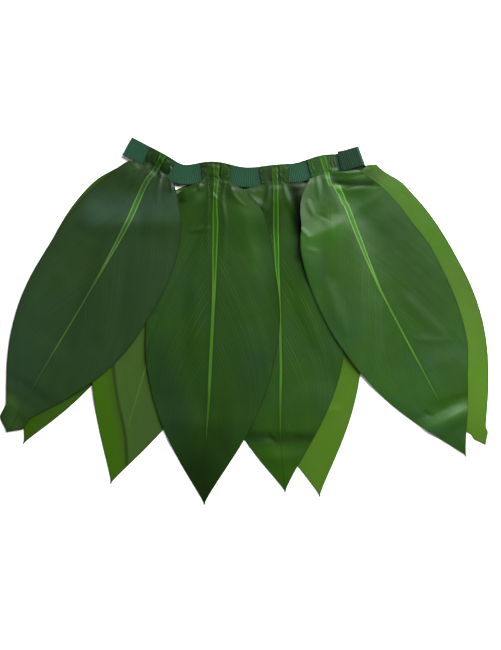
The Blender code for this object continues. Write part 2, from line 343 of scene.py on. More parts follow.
def spread(heights, radius, fold):
    # each cell's largest or mean value within a radius
    reach = int(math.ceil(radius / bed["cell"]))
    wide = np.pad(heights, reach)
    total, count = None, 0
    for i in range(-reach, reach + 1):
        for j in range(-reach, reach + 1):
            if math.hypot(i, j) * bed["cell"] <= radius:
                view = wide[reach + i : reach + i + bed["deep"], reach + j : reach + j + bed["wide"]]
                total = view.copy() if total is None else fold(total, view)
                count += 1
    return total if fold is np.maximum else total / count


def bedAt(ground, x, y):
    column = np.clip((x - bed["left"]) / bed["cell"], 0, bed["wide"] - 1.001)
    row = np.clip((y - bed["foot"]) / bed["cell"], 0, bed["deep"] - 1.001)
    j, i = column.astype(int), row.astype(int)
    u, v = column - j, row - i
    low = ground[i, j] * (1 - u) + ground[i, j + 1] * u
    high = ground[i + 1, j] * (1 - u) + ground[i + 1, j + 1] * u
    return low * (1 - v) + high * v


def restOnBed(x, y):
    ground = spread(bed["top"], leafLie["bridge"] + leafLie["soften"], np.maximum)
    ground = spread(ground, leafLie["soften"], np.add)
    for _ in range(bed["blurs"]):
        ground = spread(ground, bed["blur"], np.add)
    return bedAt(ground, x, y)


def leafHeights(leaf, down, across, x, y, side):
    # the height of the lower side of the leaf's wall, over what it lies on
    lie, front = leafLie, leaf["front"]
    ground = restOnBed(x, y)
    tab = tapeTop + solids["gap"] if front else waistTape["ground"] - solids["gap"] - solids["cloth"]
    held = 1 - ease(down / (lie["frontFall"] if front else lie["backFall"]))
    if not front:
        held = held * (1 - ease((np.abs(side) - leafCut["tabHalf"]) / lie["tabSide"]))
    hung = np.maximum(ground + (tab - ground) * held, ground)
    base = np.where(down <= -leafCut["tuck"], tab, hung)
    fade = np.exp(-np.clip(down, 0.0, None) / lie["gatherFade"]) * ease(down / lie["gatherStart"])
    gather = 0.5 - 0.5 * np.cos(2 * math.pi * lie["gathers"] * (0.5 + 0.5 * across))
    lift = lie["gatherHeight"] * gather * fade * (1.0 if front else lie["backGather"])
    for crease in leaf["creases"]:
        lift = lift + creaseHeight(crease, down, side)
    # the tab is gathered in small pleats, no two alike, which its two seams press flat
    toSeam = np.minimum(np.abs(down + lie["seamTop"]), np.abs(down + lie["seamLow"]))
    wander = 0.55 * np.sin(3.7 * across + leaf["along"]) + 0.12 * np.sin(0.55 * down + 5 * across)
    pleats = 0.5 - 0.5 * np.cos(2 * math.pi * (across * lie["tabPleats"] + wander))
    pleats = pleats * (0.6 + 0.4 * np.sin(2.3 * leaf["along"] + 4.1 * across)) * leaf["crumpled"][0]
    pressed = ease(toSeam / lie["seamPress"]) * (down < 0) * ease(-down / lie["pleatEnd"])
    height = base + lift + lie["pleatHeight"] * pleats * pressed
    if front:
        # a trough never cuts into what lies below
        below = bedAt(spread(bed["top"], lie["keepOff"], np.maximum), x, y)
        return np.where(down > 0, np.maximum(height, below), height)
    # a back leaf stays under the tape, and climbs past it only slowly
    steps = np.stack([x, y], axis=-1)[..., None, :] - tapeLine["points"][::4]
    away = np.linalg.norm(steps, axis=-1).min(axis=-1)
    clear = np.clip(away - 0.5 * waistTape["width"] - lie["tapeClear"], 0.0, None)
    return np.minimum(height, tab + lie["tapeClimb"] * clear)


# Printed side: polyester satin, woven with long floats and dye-printed, then cut hot. The floats
# give it a soft directional sheen over a flat dark print.
printedSatin = {
    "name": "dyePrintedPolyesterSatin",
    "deepGreen": "#1c370a", "blueGreen": "#1a3320", "warmGreen": "#2c5208", "veinGreen": "#2a5213",
    "haloGreen": "#122e03", "ribGreen": "#1c4703", "ribLine": "#40681f",
    "veinStrength": 0.55, "patchScale": 14.0,
    # how dark and light the crumples' painted shade and highlights are
    "crumplePaintedShade": 0.65, "crumplePaintedHighlight": 0.15, "crumpleRise": 1.4,
    "roughness": 0.33, "gloss": 0.135,
}

# Back of the same cloth: the dye shows through paler and yellower, with faint veins
reverseSatin = {
    "name": "satinReverse",
    "deepGreen": "#355012", "blueGreen": "#33492a", "warmGreen": "#335a02", "veinGreen": "#47622a",
    "haloGreen": "#36501a", "ribGreen": "#3d5c1c", "ribLine": "#546f3a",
    "veinStrength": 0.22, "patchScale": 12.0,
    # how dark and light the crumples' painted shade and highlights are
    "crumplePaintedShade": 0.3, "crumplePaintedHighlight": 0.2, "crumpleRise": 3.0,
    "roughness": 0.38, "gloss": 0.13,
}

# What both sides share. Scales are waves to a metre, widths and rises are in millimetres.
satinPattern = {
    "blueFrom": 0.35, "blueFull": 1.15, "warmFrom": -0.05, "warmFull": -1.0,
    "swayScale": 22.0, "sway": 1.1, "veinEdge": 0.2, "veinCore": 0.03,
    "veinPatchScale": 45.0, "veinFaint": 0.35, "veinLeast": 0.15, "veinMost": 1.25,
    "rightSeed": 37.3,  # sets the right side's veins apart from the left's
    "haloSpread": 2.2, "haloLeast": 1.6, "halo": 0.8, "lineSoft": 0.35,
    "insideFrom": -0.2, "insideFull": 0.6,
    "crumpleScale": 80.0, "crumpleBump": 0.8, "spotsDark": 0.34, "spotsLight": 0.66,
    "crinkleScale": 70.0, "crinkleRise": 1.0, "crinkleBump": 0.25,
    "weavePitch": 1.0, "weaveRise": 0.05, "weaveBump": 0.3,  # ten times too coarse, so that it shows
    "duller": 0.04, "glossier": -0.03,
}


def satinMaterial(finish):
    material, tree, shader, place = startMaterial(finish["name"])
    pattern, read = satinPattern, {}
    for key in ("side", "vein", "veinShow", "ribGap", "ribWidth", "ribBright", "tone", "hue", "fresh",
                "crumple"):
        read[key] = addNode(tree, "ShaderNodeAttribute", attribute_name=key).outputs["Fac"]
    # large patches of bluer dye, and bluer or yellower where the leaf says so, some of it as painted sheen
    patches = addNode(tree, "ShaderNodeTexNoise", {
        "Vector": place, "Scale": finish["patchScale"], "Detail": 3.0})
    blueMore = addNode(tree, "ShaderNodeMath", {0: patches, 1: read["hue"]}, operation="ADD")
    blueShare = addNode(tree, "ShaderNodeMapRange", {
        "Value": blueMore, "From Min": pattern["blueFrom"], "From Max": pattern["blueFull"]})
    warmShare = addNode(tree, "ShaderNodeMapRange", {
        "Value": read["hue"], "From Min": pattern["warmFrom"], "From Max": pattern["warmFull"]})
    # veins: fine lighter lines at each whole number of the vein count, broken up a little
    sway = addNode(tree, "ShaderNodeTexNoise", {
        "Vector": place, "Scale": pattern["swayScale"], "Detail": 1.0})
    bentVein = addNode(tree, "ShaderNodeMath", {
        0: sway, 1: pattern["sway"], 2: read["vein"]}, operation="MULTIPLY_ADD")
    nearVein = addNode(tree, "ShaderNodeMath", {0: bentVein, 1: 0.5}, operation="PINGPONG")
    veinLine = addNode(tree, "ShaderNodeMapRange", {
        "Value": nearVein, "From Min": pattern["veinEdge"],
        "From Max": pattern["veinCore"]}, interpolation_type="SMOOTHSTEP")
    veinPatch = addNode(tree, "ShaderNodeTexNoise", {
        "Vector": place, "Scale": pattern["veinPatchScale"], "Detail": 2.0})
    veinShow = addNode(tree, "ShaderNodeMapRange", {
        "Value": veinPatch, **noiseSpan,
        "To Min": pattern["veinFaint"] * finish["veinStrength"], "To Max": finish["veinStrength"]})
    veinMask = addNode(tree, "ShaderNodeMath", {0: veinLine, 1: veinShow}, operation="MULTIPLY")
    # each vein has a strength of its own
    veinNumber = addNode(tree, "ShaderNodeMath", {0: bentVein}, operation="ROUND")
    onRight = addNode(tree, "ShaderNodeMath", {0: read["side"], 1: 0.0}, operation="GREATER_THAN")
    veinSeed = addNode(tree, "ShaderNodeMath", {
        0: onRight, 1: pattern["rightSeed"], 2: veinNumber}, operation="MULTIPLY_ADD")
    veinOwn = addNode(tree, "ShaderNodeTexWhiteNoise", {"W": veinSeed}, noise_dimensions="1D")
    veinOwn = addNode(tree, "ShaderNodeMapRange", {
        "Value": veinOwn.outputs["Value"], "To Min": pattern["veinLeast"], "To Max": pattern["veinMost"]})
    veinMask = addNode(tree, "ShaderNodeMath", {0: veinMask, 1: veinOwn}, operation="MULTIPLY")
    veinMask = addNode(tree, "ShaderNodeMath", {0: veinMask, 1: read["veinShow"]}, operation="MULTIPLY")
    # the midrib: two bright lines that run together, deep green between and beside them
    awaySide = addNode(tree, "ShaderNodeMath", {0: read["side"]}, operation="ABSOLUTE")
    haloWidth = addNode(tree, "ShaderNodeMath", {
        0: read["ribWidth"], 1: pattern["haloSpread"], 2: pattern["haloLeast"]}, operation="MULTIPLY_ADD")
    haloWidth = addNode(tree, "ShaderNodeMath", {0: haloWidth, 1: read["ribGap"]}, operation="ADD")
    halo = addNode(tree, "ShaderNodeMapRange", {
        "Value": awaySide, "From Min": haloWidth, "From Max": read["ribGap"],
        "To Max": pattern["halo"]}, interpolation_type="SMOOTHSTEP")
    inside = addNode(tree, "ShaderNodeMath", {0: read["ribGap"], 1: awaySide}, operation="SUBTRACT")
    insideMask = addNode(tree, "ShaderNodeMapRange", {
        "Value": inside, "From Min": pattern["insideFrom"], "From Max": pattern["insideFull"]})
    fromLine = addNode(tree, "ShaderNodeMath", {0: inside}, operation="ABSOLUTE")
    inLine = addNode(tree, "ShaderNodeMath", {0: read["ribWidth"], 1: fromLine}, operation="SUBTRACT")
    ribLine = addNode(tree, "ShaderNodeMapRange", {
        "Value": inLine, "From Min": -pattern["lineSoft"], "From Max": pattern["lineSoft"],
        "To Max": read["ribBright"]}, interpolation_type="SMOOTHSTEP")
    # each layer of print lies over the one before
    colour = hexColour(finish["deepGreen"])
    layers = ((blueShare, "blueGreen"), (warmShare, "warmGreen"), (veinMask, "veinGreen"),
              (halo, "haloGreen"), (insideMask, "ribGreen"), (ribLine, "ribLine"))
    for mask, dye in layers:
        over = {0: mask, 6: colour, 7: hexColour(finish[dye])}
        colour = addNode(tree, "ShaderNodeMix", over, data_type="RGBA").outputs[2]
    # where the leaf is gathered it is crumpled; the crumples' light and shade are painted in light and dark
    # spots a few millimetres wide
    spots = addNode(tree, "ShaderNodeTexNoise", {
        "Vector": place, "Scale": pattern["crumpleScale"], "Detail": 3.0, "Distortion": 0.8})
    crumpleShading = addNode(tree, "ShaderNodeMapRange", {
        "Value": spots, "From Min": pattern["spotsDark"], "From Max": pattern["spotsLight"],
        "To Min": -finish["crumplePaintedShade"], "To Max": finish["crumplePaintedHighlight"]})
    crumpleShading = addNode(tree, "ShaderNodeMath", {
        0: crumpleShading, 1: read["crumple"], 2: 1.0}, operation="MULTIPLY_ADD")
    fullTone = addNode(tree, "ShaderNodeMath", {0: crumpleShading, 1: read["tone"]}, operation="MULTIPLY")
    toned = addNode(tree, "ShaderNodeHueSaturation", {
        "Color": colour, "Saturation": read["fresh"], "Value": fullTone})
    # a fine crinkle, the gathered part's crumple and the satin's floats raise the surface
    scale = 1 / (pattern["weavePitch"] * mm) / wavesPerScale
    weave = addNode(tree, "ShaderNodeTexWave", {
        "Vector": place, "Scale": scale, "Distortion": 1.5}, wave_type="BANDS", bands_direction="DIAGONAL")
    crinkle = addNode(tree, "ShaderNodeTexNoise", {
        "Vector": place, "Scale": pattern["crinkleScale"], "Detail": 4.0})
    crumpleRise = addNode(tree, "ShaderNodeMath", {0: spots, 1: read["crumple"]}, operation="MULTIPLY")
    bump = {}
    for height, strength, rise in (
            (crinkle, pattern["crinkleBump"], pattern["crinkleRise"]),
            (crumpleRise, pattern["crumpleBump"], finish["crumpleRise"]),
            (weave.outputs["Fac"], pattern["weaveBump"], pattern["weaveRise"])):
        bump.update({"Height": height, "Strength": strength, "Distance": rise * mm})
        bump = {"Normal": addNode(tree, "ShaderNodeBump", bump)}
    dull = addNode(tree, "ShaderNodeMapRange", {
        "Value": crinkle, **noiseSpan, "To Min": finish["roughness"] + pattern["glossier"],
        "To Max": finish["roughness"] + pattern["duller"]})
    fillInputs(tree, shader, {
        **bump, "Base Color": toned, "Roughness": dull, "IOR": 1.5, "Specular IOR Level": finish["gloss"]})
    return material


# Edge of a leaf: polyester cut with a hot knife melts to a hard, dark bead
heatCutEdge = {"name": "heatCutPolyester", "dark": "#142409", "light": "#243d13", "roughness": 0.6,
               "beadScale": 400.0, "beadRise": 0.2, "beadBump": 0.4}


def edgeMaterial(finish):
    material, tree, shader, place = startMaterial(finish["name"])
    beads = addNode(tree, "ShaderNodeTexNoise", {
        "Vector": place, "Scale": finish["beadScale"], "Detail": 2.0})
    mixed = addNode(tree, "ShaderNodeMix", {
        0: beads, 6: hexColour(finish["dark"]), 7: hexColour(finish["light"])}, data_type="RGBA")
    bump = addNode(tree, "ShaderNodeBump", {
        "Height": beads, "Strength": finish["beadBump"], "Distance": finish["beadRise"] * mm})
    # a rough melted bead has no gloss, or it would glint where it is seen edge on
    fillInputs(tree, shader, {
        "Base Color": mixed.outputs[2], "Normal": bump, "Roughness": finish["roughness"],
        "Specular IOR Level": 0.0})
    return material


heatCut = edgeMaterial(heatCutEdge)
printedFace = satinMaterial(printedSatin)
clothBack = satinMaterial(reverseSatin)
print("stage: satin materials made")

# The leaves, in the order in which they lie, in millimetres. Turns are in degrees from straight
# down, to the right; along is the way from the tape's left fold.
# A crease is (height, reach, points) with points as (down, side), a patch is (tone, hue, reach,
# points) with hue from -1, yellow, to 1, blue. Midrib says how far the printed midrib lies to the
# side of the leaf's middle, and leftWider and rightWider what the leaf has more there than its
# usual outline, as (down, side) rows. Crumpled and ribBold are a strength and reach, and a single
# line's half width and strength.
usualLeaf = {
    "follow": 50, "blunt": 0, "leftTop": 31, "rightTop": 31,
    "leftWider": ((0, 0),), "rightWider": ((0, 0),),
    "crumpled": (0.5, 20), "midrib": ((0, 0),), "ribMeets": 170, "ribBold": (0.8, 0.8), "fresh": 1.0,
}
ownLeaves = [{
    "name": "satinLeafBack1", "node": "leaf_back_1", "front": False,
    "along": 33, "turn": -38, "tip": (-243, -135), "tipTurn": -25,
    "left": 55, "right": 63, "leftTop": 24, "rightTop": 27,
    "creases": [
        (1.2, 12, (12, -10), (50, -22), (96, -30)), (1.3, 15, (30, 16), (84, 20), (140, 34)),
        (1.5, 16, (236, -34), (252, 0), (248, 38)), (0.8, 9, (150, -40), (190, -30)),
    ],
    "patches": [(1.1, 0.3, 40, (240, 10), (300, 20))],
    "fresh": 1.2, "tone": 0.53, "hue": 0.15, "veins": 1.0,
}, {
    "name": "satinLeafBack4", "node": "leaf_back_4", "front": False,
    "along": 241, "turn": 31, "tip": (265, -136), "tipTurn": 26,
    "left": 70, "right": 66, "blunt": 9,
    "leftWider": ((-1, 0), (2, 7), (40, 7), (70, 0)),
    "rightWider": ((0, 0), (3, 6), (14, 4), (34, 2), (60, 0)),
    "creases": [
        (0.8, 12, (14, 12), (40, 24), (76, 30)), (1.2, 16, (26, -20), (90, -36), (150, -46)),
        (1.2, 15, (240, -36), (254, -6), (262, 20)),
    ],
    # the third patch is painted shade under the tape, between the shoulders of two back leaves
    "patches": [
        (0.82, -0.8, 50, (20, 30), (120, 60)), (0.6, -0.4, 20, (-4, 14), (14, 34)),
        (0.15, 0.0, 16, (0, -26), (16, -36)), (1.35, -0.1, 80, (220, 10), (290, 20)),
    ],
    "tone": 0.72, "hue": -0.2, "veins": 0.5,
}, {
    "name": "satinLeafBack3", "node": "leaf_back_3", "front": False,
    "along": 171, "turn": 12, "tip": (83, -193), "tipTurn": 7,
    "left": 68, "right": 66,
    "rightWider": ((-1, 0), (2, 7), (40, 7), (70, 0)),
    "creases": [
        (1.0, 12, (12, -10), (50, -14), (84, -28)), (1.0, 16, (40, 22), (110, 26), (180, 40)),
        (1.2, 14, (262, -30), (250, 0), (256, 34)),
    ],
    # its patch is painted shade under the tape, between the shoulders of two back leaves
    "patches": [(0.15, 0.0, 16, (0, 26), (16, 36))],
    "tone": 0.84, "hue": -0.3, "veins": 0.5,
}, {
    "name": "satinLeafBack2", "node": "leaf_back_2", "front": False,
    "along": 96, "turn": -22, "tip": (-147, -179), "tipTurn": -17,
    "left": 67, "right": 64, "leftTop": 26,
    "creases": [
        (0.8, 10, (185, -50), (225, -33), (259, -18), (292, 1), (330, 15)),
        (-0.3, 5, (190, -44), (225, -31), (259, -16), (294, 4), (324, 14)),
        (0.8, 12, (20, 8), (60, 14), (94, 26)), (1.0, 14, (120, 30), (180, 36), (220, 26)),
    ],
    # painted: the strip left of the fold darker and yellower, without the sheen the rest catches, and
    # painted shade in a thin line along the fold
    "patches": [
        (0.9, -1.3, 25, (190, -64), (240, -50), (292, -24), (330, -4)),
        (0.45, 0.0, 3.2, (150, -61), (225, -34), (259, -19), (294, 0), (334, 14)),
    ],
    "tone": 0.58, "hue": 0.15, "veins": 0.9,
}, {
    "name": "satinLeafFront3", "node": "leaf_front_3", "front": True,
    "along": 169.5, "turn": 4, "tip": (45, -188), "tipTurn": 7,
    "left": 78, "right": 74, "crumpled": (0.55, 22),
    "creases": [
        (1.0, 5, (-2, -8), (14, -11), (36, -18)), (1.3, 6, (-1, 9), (18, 12), (44, 22)),
        (1.4, 9, (8, -32), (20, -22), (30, -8)), (2.4, 22, (10, 22), (40, 36), (86, 46)),
        (1.0, 12, (50, -34), (90, -48), (130, -56)), (0.8, 14, (120, 20), (156, 34), (190, 52)),
        (-2.0, 9, (280, -46), (276, -10), (283, 40)), (1.6, 16, (296, -30), (300, 0), (298, 26)),
    ],
    # painted: shade above the tip's fold (first), the shadow that satinLeafFront4's lifted left edge casts
    # near the tape (fifth and sixth), and shade in the gap by the left shoulder (last)
    "patches": [
        (0.6, 0.0, 11, (274, -50), (278, 0), (280, 46)), (0.85, -0.4, 34, (300, -10), (330, 0)),
        (0.62, 0.0, 26, (-5, -6), (40, -8)), (0.85, 0.0, 30, (200, -60), (270, -40)),
        (0.1, -0.3, 13, (-4, 21), (30, 21), (50, 23)), (0.3, -0.2, 7, (46, 25), (64, 24), (80, 21)),
        (0.5, -0.3, 6, (8, -33), (15, -34)),
    ],
    "midrib": ((-22, 0.3), (5, -0.2), (16, -1.5), (49, -2.1), (87, -1.5), (143, 1.5), (203, 2.7),
               (275, 0)),
    "ribMeets": 150, "ribBold": (1.3, 0.85), "tone": 0.8, "hue": -0.05, "veins": 1.1,
}, {
    "name": "satinLeafFront2", "node": "leaf_front_2", "front": True,
    "along": 104.7, "turn": 1, "tip": (-44, -202), "tipTurn": 1,
    "left": 71.5, "right": 74, "rightTop": 30, "crumpled": (1.0, 30),
    "rightWider": ((45, 0), (72, -3), (96, -3), (125, 0), (145, 1.5), (165, 1.5), (190, 0)),
    "creases": [
        (0.9, 4.5, (-3, 13), (30, 11), (92, 10)), (0.8, 4.5, (-2, -12), (36, -9), (90, -7)),
        (1.6, 4, (-4, -17), (2, -21), (9, -22)), (2.2, 6, (3, -22), (9, -29), (20, -36)),
        (1.4, 5.5, (56, -30), (53, -18), (51, -4)), (0.9, 3.5, (10, -5), (16, 0), (20, 6)),
        (0.9, 5, (-3, 18), (10, 22), (26, 34)), (0.9, 14, (28, 30), (60, 36), (92, 48)),
        (1.0, 16, (70, -44), (110, -54), (150, -58)), (1.2, 24, (262, -66), (266, 0), (258, 66)),
    ],
    # painted: shade on the tip, which falls away from the light (first), shade in the gap by the left
    # shoulder (fifth) and a crumple's highlight on that shoulder (last)
    "patches": [
        (0.36, -0.1, 70, (320, -10), (350, 0)), (0.78, 0.3, 34, (190, -60), (270, -30)),
        (0.9, 0.1, 30, (200, 50), (280, 20)), (1.2, -0.1, 28, (26, 30), (90, 46)),
        (0.35, -0.4, 5, (7, -38), (20, -36)), (1.35, 0.1, 7, (9, -26), (16, -22)),
    ],
    "midrib": ((-22, -1.4), (3, 1.9), (16, 1.9), (36, 0.4), (74, 0.4), (129, 1.5), (240, 2.5),
               (288, 1.3)),
    "ribMeets": 165, "ribBold": (1.6, 1.0), "tone": 0.65, "hue": 0.0, "veins": 1.1,
}, {
    "name": "satinLeafFront1", "node": "leaf_front_1", "front": True,
    "along": 38.5, "turn": -25, "tip": (-261, -122), "tipTurn": -27, "follow": 0,
    "left": 64, "right": 72, "leftTop": 29, "rightTop": 26, "blunt": 15, "crumpled": (0.8, 38),
    "creases": [
        (1.0, 5, (-3, -9), (14, -12), (36, -17)), (1.3, 5.5, (-3, 9), (10, 12), (32, 19)),
        (0.9, 3.5, (-14, 12), (-10, 15), (-5, 19)), (1.1, 4, (-4, 18), (2, 23), (11, 29)),
        (1.0, 6, (4, -16), (16, -24), (34, -28)), (2.6, 24, (94, -50), (74, -16), (56, 12), (34, 56)),
        (0.9, 16, (120, 20), (160, 28), (200, 44)), (1.1, 14, (150, -50), (190, -52), (230, -46)),
        (-0.9, 11, (276, -44), (276, 0), (284, 44)), (1.8, 16, (298, -34), (302, 0), (308, 18)),
    ],
    # painted: the bluish sheen across the top (first) and the light on the bent tip, yellower (second)
    "patches": [
        (1.6, 0.65, 28, (66, -36), (44, 0), (22, 40)), (0.95, -0.7, 18, (298, -14), (316, 2)),
        (1.15, 0.3, 44, (200, -40), (270, -20)), (0.92, -0.15, 40, (130, -10), (170, 30)),
    ],
    "midrib": ((-22, -0.5), (-6, 0.6), (2, 0), (10, -2), (18, -2.7), (40, -2.3), (60, -0.7),
               (116, 0.5), (160, 1.4), (279, 2)),
    "ribMeets": 150, "ribBold": (0.95, 0.72), "fresh": 0.84, "tone": 0.58, "hue": 0.05, "veins": 0.7,
}, {
    "name": "satinLeafFront4", "node": "leaf_front_4", "front": True,
    "along": 223.5, "turn": 27.5, "tip": (244, -149), "tipTurn": 27.5,
    "left": 68, "right": 65, "leftTop": 20, "rightTop": 30, "crumpled": (0.3, 14),
    "leftWider": ((0, 0), (12, -1.5), (24, -2.2), (36, 0), (46, 3), (60, 4.6), (95, 4), (141, 4), (165, 3),
                  (185, 1), (215, 0)),
    "rightWider": ((-1, 0), (2, 3), (14, 3), (40, 0), (90, 0), (120, 4), (235, 4), (268, 0)),
    "creases": [
        (1.8, 5.5, (-5, 5), (-2, 13), (4, 31), (9, 44)),
        (-1.8, 9, (9, 11), (14, 17), (30, 40), (38, 50)), (0.9, 5, (-2, -10), (10, -13), (24, -18)),
        (7.0, 30, (-10, -24), (44, -56), (104, -72)),
        (2.6, 18, (50, -66), (56, -31), (56, -16), (54, 0)),
        (1.2, 16, (54, -6), (50, 18), (49, 37), (44, 54)),
        (-0.35, 4, (35, -27), (40, -23), (48, -18)), (0.8, 4.5, (18, -26), (28, -29), (37, -31)),
        (1.0, 5, (38, -52), (47, -49), (57, -46)), (0.6, 5, (60, -58), (68, -50), (73, -42)),
        (0.8, 14, (150, 16), (186, 26), (220, 40)), (1.2, 14, (100, -50), (140, -56), (170, -58)),
        (0.7, 8, (204, 6), (214, 22), (224, 44)),
        (-1.6, 9, (284, -40), (285, -10), (286, 10), (287, 38)),
        (4.6, 16, (301, -38), (301, 0), (301, 34)),
    ],
    # painted: sheen left of the midrib (first), sheen below the tip's fold (second) and shade in the tuck's
    # trough by the tape (fourth)
    "patches": [
        (1.4, 0.05, 24, (52, -56), (58, -30), (56, -14)),
        (1.5, 0.05, 15, (297, -34), (298, 0), (297, 24)), (1.2, 0.0, 40, (240, -50), (262, -10)),
        (0.5, 0.0, 6, (6, 10), (12, 18), (28, 42)), (0.8, 0.0, 44, (90, 40), (170, 40)),
    ],
    "midrib": ((-22, 1), (3, 4), (12.5, 5), (14.5, 12), (27, 10.5), (37, 6.5), (51, 4.7), (75, 2.4),
               (101, 0), (140, -2.3), (187, -1.3), (273, 1)),
    "ribMeets": 165, "ribBold": (0.95, 0.9), "tone": 0.88, "hue": 0.0, "veins": 0.8,
}]

leaves = [{**usualLeaf, **own} for own in ownLeaves]

# The printed veins: how far down a vein runs on its way to the edge, how much it bends, how many
# millimetres of midrib lie between two, and where they start beside it and fade near the tip
veinPrint = {
    "run": 118.0, "bend": 0.45, "spacing": 7.6,
    "start": 2.0, "rise": 6.0, "tipFrom": 0.78, "tipOver": 0.14, "tipFade": 0.6,
}
# The printed midrib: half the gap between its two lines, how wide they are, and where the line
# has faded out. On the tab the leaf is darker and fresher.
ribPrint = {
    "gap": 2.5, "meetBend": 2.2, "line": 0.62,
    "fadeFrom": 215.0, "ends": 286.0, "fadeBend": 0.6, "tail": 0.3,
    "strength": ((-22, 0.85), (0, 1.0), (110, 1.0), (150, 0.74), (215, 0.78), (240, 0.55), (286, 0.5)),
    "tabShade": 0.32, "tabFresh": 0.35, "tabFade": 4.0, "crumpleAbove": 6.0,
}


def leafPrint(leaf, line, down, side, half):
    # what the material reads at each point
    veins, rib = veinPrint, ribPrint
    across = np.abs(side) / half
    vein = (down - veins["run"] * (across + veins["bend"] * across**2)) / veins["spacing"]
    tip = ease((down / line["length"] - veins["tipFrom"]) / veins["tipOver"])
    veinShow = ease((np.abs(side) - veins["start"]) / veins["rise"]) * (1 - veins["tipFade"] * tip)
    joined = ease((down - 0.5 * leaf["ribMeets"]) / (0.5 * leaf["ribMeets"]))
    single, strength = leaf["ribBold"]
    ribWidth = rib["line"] + (single - rib["line"]) * joined
    faded = np.clip((rib["ends"] - down) / (rib["ends"] - rib["fadeFrom"]), 0.0, 1.0)
    onTab = ease(-down / rib["tabFade"])
    tone, hue = np.full(down.shape, leaf["tone"]), np.full(down.shape, leaf["hue"])
    # patches lighten or darken the print, many of them as painted shade, shadows and sheen
    for patchTone, patchHue, reach, *points in leaf["patches"]:
        amount = patchShare(reach, points, down, side)
        tone, hue = tone * (1 + (patchTone - 1) * amount), hue + patchHue * amount
    toEdge = np.minimum(half - np.abs(side), line["length"] - down)
    # darker along the edge: melted dye and painted shade
    bordered = leafCut["borderShade"] * (1 - ease(toEdge / leafCut["border"]))
    crumpled, reach = leaf["crumpled"]
    return {
        "side": side - rowsAt(down, leaf["midrib"]),
        "down": down,
        "vein": vein,
        "veinShow": leaf["veins"] * veinShow,
        "ribGap": rib["gap"] * (1 - ease(down / leaf["ribMeets"]) ** rib["meetBend"]),
        "ribWidth": ribWidth * faded ** rib["fadeBend"] - rib["tail"] * (down > rib["ends"]),
        "ribBright": rowsAt(down, rib["strength"]) * (1 - (1 - strength) * joined),
        "fresh": leaf["fresh"] + rib["tabFresh"] * onTab,
        "tone": tone * (1 - rib["tabShade"] * onTab) * (1 - bordered),
        "hue": hue,
        "crumple": crumpled * (1 - ease((down + rib["crumpleAbove"]) / reach)),
    }


def makeLeaf(leaf):
    cut, tab = leafCut, waistTape["width"]
    line = midribCourse(leaf)
    blade, folds = line["length"], cut["foldsEnd"]
    down = np.concatenate([
        [-tab, -tab + cut["cutEdge"]],
        np.linspace(-tab, 0, int(tab / cut["tabStep"]))[1:-1],
        np.linspace(0, folds, int(folds / cut["foldStep"])),
        np.linspace(folds, blade, int((blade - folds) / cut["bladeStep"]))[1:-1],
        [blade - cut["cutEdge"], blade],
    ])
    edge, border = 1 - cut["cutEdge"] / cut["usualHalf"], 1 - cut["border"] / cut["usualHalf"]
    across = np.concatenate([[-1.0, -edge], np.linspace(-border, border, cut["columns"] + 1), [edge, 1.0]])
    down, across = np.meshgrid(down, across, indexing="ij")
    x, y, side, half = leafPlan(leaf, line, down, across)
    z = leafHeights(leaf, down, across, x, y, side)
    up, under = (printedFace, clothBack) if leaf["front"] else (clothBack, printedFace)
    attributes = leafPrint(leaf, line, down, side, half)
    middle = z + 0.5 * solids["cloth"]
    piece = makeShell(leaf["name"], x, y, middle, cut["thickness"], [up, under, heatCut], attributes)
    layOnBed(x, y, z + solids["cloth"] + solids["gap"])
    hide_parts(leaf["node"])
    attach(piece, "root")
    print("stage:", leaf["name"], "made,", len(piece.data.polygons), "faces")


for leaf in leaves:
    if not leaf["front"]:
        makeLeaf(leaf)


# Woven elastic: rubber threads bound by polyester in close ribs across the tape, dyed teal
elasticFinish = {
    "name": "wovenElastic",
    "teal": "#13301f", "tealLight": "#183725", "rubberShadow": "#0a1f12",
    "selvedge": 1.4, "edgeShadeTone": 0.35,  # painted shade along both edges of the thick tape
    "fluffScale": 900.0, "fluffBump": 0.35, "stainScale": 25.0, "stain": 0.5,
    "waleTone": 0.6, "waleBump": 0.5, "threadRise": 0.2,
    "ribFaintTone": 0.8, "ribTone": 0.3,  # the rubber between the ribs, where they are faint and full
    "roughness": 0.7, "gloss": 0.08,
}


